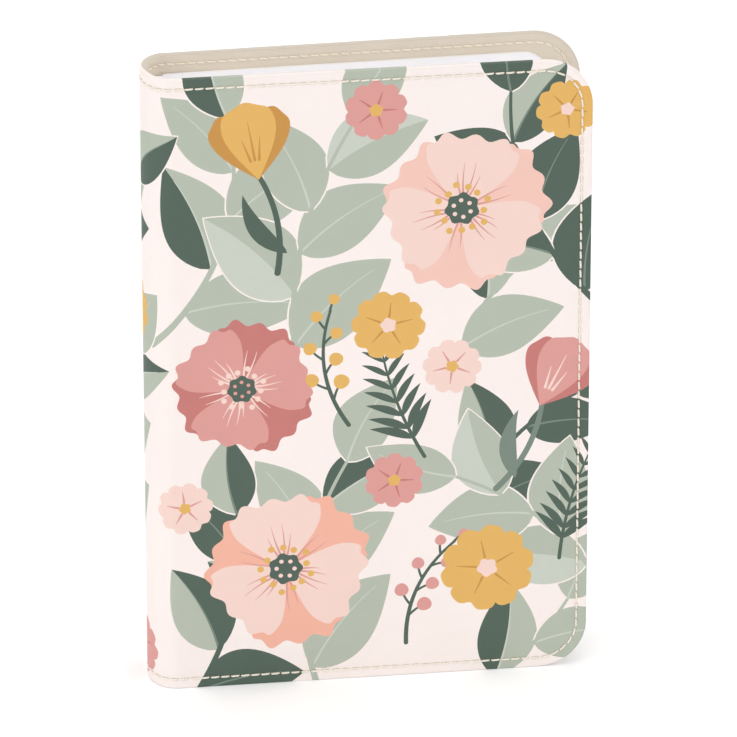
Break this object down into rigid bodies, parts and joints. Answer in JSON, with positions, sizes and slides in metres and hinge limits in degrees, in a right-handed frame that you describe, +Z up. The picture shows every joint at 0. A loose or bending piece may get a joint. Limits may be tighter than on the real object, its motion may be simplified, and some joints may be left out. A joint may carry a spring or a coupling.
{
  "type": "weekly planner",
  "caption": "Upright planner book with a soft leatherette cover, rounded corners, rounded spine and stitched edge, opening on sewn sections of pages.",
  "frame": {"origin": "middle of the footprint, on the surface that the planner stands on", "axes": "+Z up the height, +X from the spine to the fore-edge, +Y from the front cover to the back cover"},
  "size_m": [0.145, 0.0268, 0.218],
  "materials": {
    "printed_leatherette": "matte, printed",
    "beige_leatherette": "matte",
    "grey_board": "matte",
    "cream_thread": "satin",
    "white_paper": "matte",
    "backing_cloth": "matte"
  },
  "bodies": {
    "spine": {"spine_skin": "printed_leatherette", "spine_core": "grey_board", "spine_lining": "beige_leatherette", "spine_needle_thread_top": "cream_thread", "spine_needle_thread_bottom": "cream_thread", "spine_bobbin_thread_top": "cream_thread", "spine_bobbin_thread_bottom": "cream_thread", "spine_backing": "backing_cloth"},
    "front_cover": {"front_cover_skin": "printed_leatherette", "front_cover_core": "grey_board", "front_cover_lining": "beige_leatherette", "front_cover_needle_thread": "cream_thread", "front_cover_bobbin_thread": "cream_thread", "front_cover_pastedown": "white_paper"},
    "back_cover": {"back_cover_skin": "printed_leatherette", "back_cover_core": "grey_board", "back_cover_lining": "beige_leatherette", "back_cover_needle_thread": "cream_thread", "back_cover_bobbin_thread": "cream_thread", "back_cover_pastedown": "white_paper"},
    "front_flyleaf": {"front_flyleaf": "white_paper"},
    "section_01": {"section_01": "white_paper"},
    "section_02": {"section_02": "white_paper"},
    "section_03": {"section_03": "white_paper"},
    "section_04": {"section_04": "white_paper"},
    "section_05": {"section_05": "white_paper"},
    "section_06": {"section_06": "white_paper"},
    "section_07": {"section_07": "white_paper"},
    "section_08": {"section_08": "white_paper"},
    "section_09": {"section_09": "white_paper"},
    "section_10": {"section_10": "white_paper"},
    "section_11": {"section_11": "white_paper"},
    "section_12": {"section_12": "white_paper"},
    "section_13": {"section_13": "white_paper"},
    "section_14": {"section_14": "white_paper"},
    "back_flyleaf": {"back_flyleaf": "white_paper"}
  },
  "joints": [
    {"name": "front_cover_hinge", "type": "hinge", "parent": "spine", "child": "front_cover", "pos_m": [-0.0694, -0.00906, 0], "axis": [0, 0, -1], "range_deg": [-0.7, 178]},
    {"name": "back_cover_hinge", "type": "hinge", "parent": "spine", "child": "back_cover", "pos_m": [-0.0694, 0.00906, 0], "axis": [0, 0, 1], "range_deg": [-0.7, 178]},
    {"name": "front_flyleaf_turn", "type": "hinge", "parent": "spine", "child": "front_flyleaf", "pos_m": [-0.0694, -0.00906, 0], "axis": [0, 0, -1], "range_deg": [-0.62, 157.06]},
    {"name": "section_01_turn", "type": "hinge", "parent": "spine", "child": "section_01", "pos_m": [-0.0694, -0.00906, 0], "axis": [0, 0, -1], "range_deg": [-0.54, 136.12]},
    {"name": "section_02_turn", "type": "hinge", "parent": "spine", "child": "section_02", "pos_m": [-0.0694, -0.00906, 0], "axis": [0, 0, -1], "range_deg": [-0.45, 115.18]},
    {"name": "section_03_turn", "type": "hinge", "parent": "spine", "child": "section_03", "pos_m": [-0.0694, -0.00906, 0], "axis": [0, 0, -1], "range_deg": [-0.37, 94.24]},
    {"name": "section_04_turn", "type": "hinge", "parent": "spine", "child": "section_04", "pos_m": [-0.0694, -0.00906, 0], "axis": [0, 0, -1], "range_deg": [-0.29, 73.3]},
    {"name": "section_05_turn", "type": "hinge", "parent": "spine", "child": "section_05", "pos_m": [-0.0694, -0.00906, 0], "axis": [0, 0, -1], "range_deg": [-0.21, 52.35]},
    {"name": "section_06_turn", "type": "hinge", "parent": "spine", "child": "section_06", "pos_m": [-0.0694, -0.00906, 0], "axis": [0, 0, -1], "range_deg": [-0.12, 31.41]},
    {"name": "section_07_turn", "type": "hinge", "parent": "spine", "child": "section_07", "pos_m": [-0.0694, -0.00906, 0], "axis": [0, 0, -1], "range_deg": [-0.04, 10.47]},
    {"name": "section_08_turn", "type": "hinge", "parent": "spine", "child": "section_08", "pos_m": [-0.0694, 0.00906, 0], "axis": [0, 0, 1], "range_deg": [-0.04, 10.47]},
    {"name": "section_09_turn", "type": "hinge", "parent": "spine", "child": "section_09", "pos_m": [-0.0694, 0.00906, 0], "axis": [0, 0, 1], "range_deg": [-0.12, 31.41]},
    {"name": "section_10_turn", "type": "hinge", "parent": "spine", "child": "section_10", "pos_m": [-0.0694, 0.00906, 0], "axis": [0, 0, 1], "range_deg": [-0.21, 52.35]},
    {"name": "section_11_turn", "type": "hinge", "parent": "spine", "child": "section_11", "pos_m": [-0.0694, 0.00906, 0], "axis": [0, 0, 1], "range_deg": [-0.29, 73.3]},
    {"name": "section_12_turn", "type": "hinge", "parent": "spine", "child": "section_12", "pos_m": [-0.0694, 0.00906, 0], "axis": [0, 0, 1], "range_deg": [-0.37, 94.24]},
    {"name": "section_13_turn", "type": "hinge", "parent": "spine", "child": "section_13", "pos_m": [-0.0694, 0.00906, 0], "axis": [0, 0, 1], "range_deg": [-0.45, 115.18]},
    {"name": "section_14_turn", "type": "hinge", "parent": "spine", "child": "section_14", "pos_m": [-0.0694, 0.00906, 0], "axis": [0, 0, 1], "range_deg": [-0.54, 136.12]},
    {"name": "back_flyleaf_turn", "type": "hinge", "parent": "spine", "child": "back_flyleaf", "pos_m": [-0.0694, 0.00906, 0], "axis": [0, 0, 1], "range_deg": [-0.62, 157.06]}
  ],
  "couplings": [
    {"joint": "front_flyleaf_turn", "follows": "front_cover_hinge", "ratio": 0.88235},
    {"joint": "section_01_turn", "follows": "front_cover_hinge", "ratio": 0.76471},
    {"joint": "section_02_turn", "follows": "front_cover_hinge", "ratio": 0.64706},
    {"joint": "section_03_turn", "follows": "front_cover_hinge", "ratio": 0.52941},
    {"joint": "section_04_turn", "follows": "front_cover_hinge", "ratio": 0.41176},
    {"joint": "section_05_turn", "follows": "front_cover_hinge", "ratio": 0.29412},
    {"joint": "section_06_turn", "follows": "front_cover_hinge", "ratio": 0.17647},
    {"joint": "section_07_turn", "follows": "front_cover_hinge", "ratio": 0.058824},
    {"joint": "section_08_turn", "follows": "back_cover_hinge", "ratio": 0.058824},
    {"joint": "section_09_turn", "follows": "back_cover_hinge", "ratio": 0.17647},
    {"joint": "section_10_turn", "follows": "back_cover_hinge", "ratio": 0.29412},
    {"joint": "section_11_turn", "follows": "back_cover_hinge", "ratio": 0.41176},
    {"joint": "section_12_turn", "follows": "back_cover_hinge", "ratio": 0.52941},
    {"joint": "section_13_turn", "follows": "back_cover_hinge", "ratio": 0.64706},
    {"joint": "section_14_turn", "follows": "back_cover_hinge", "ratio": 0.76471},
    {"joint": "back_flyleaf_turn", "follows": "back_cover_hinge", "ratio": 0.88235}
  ]
}
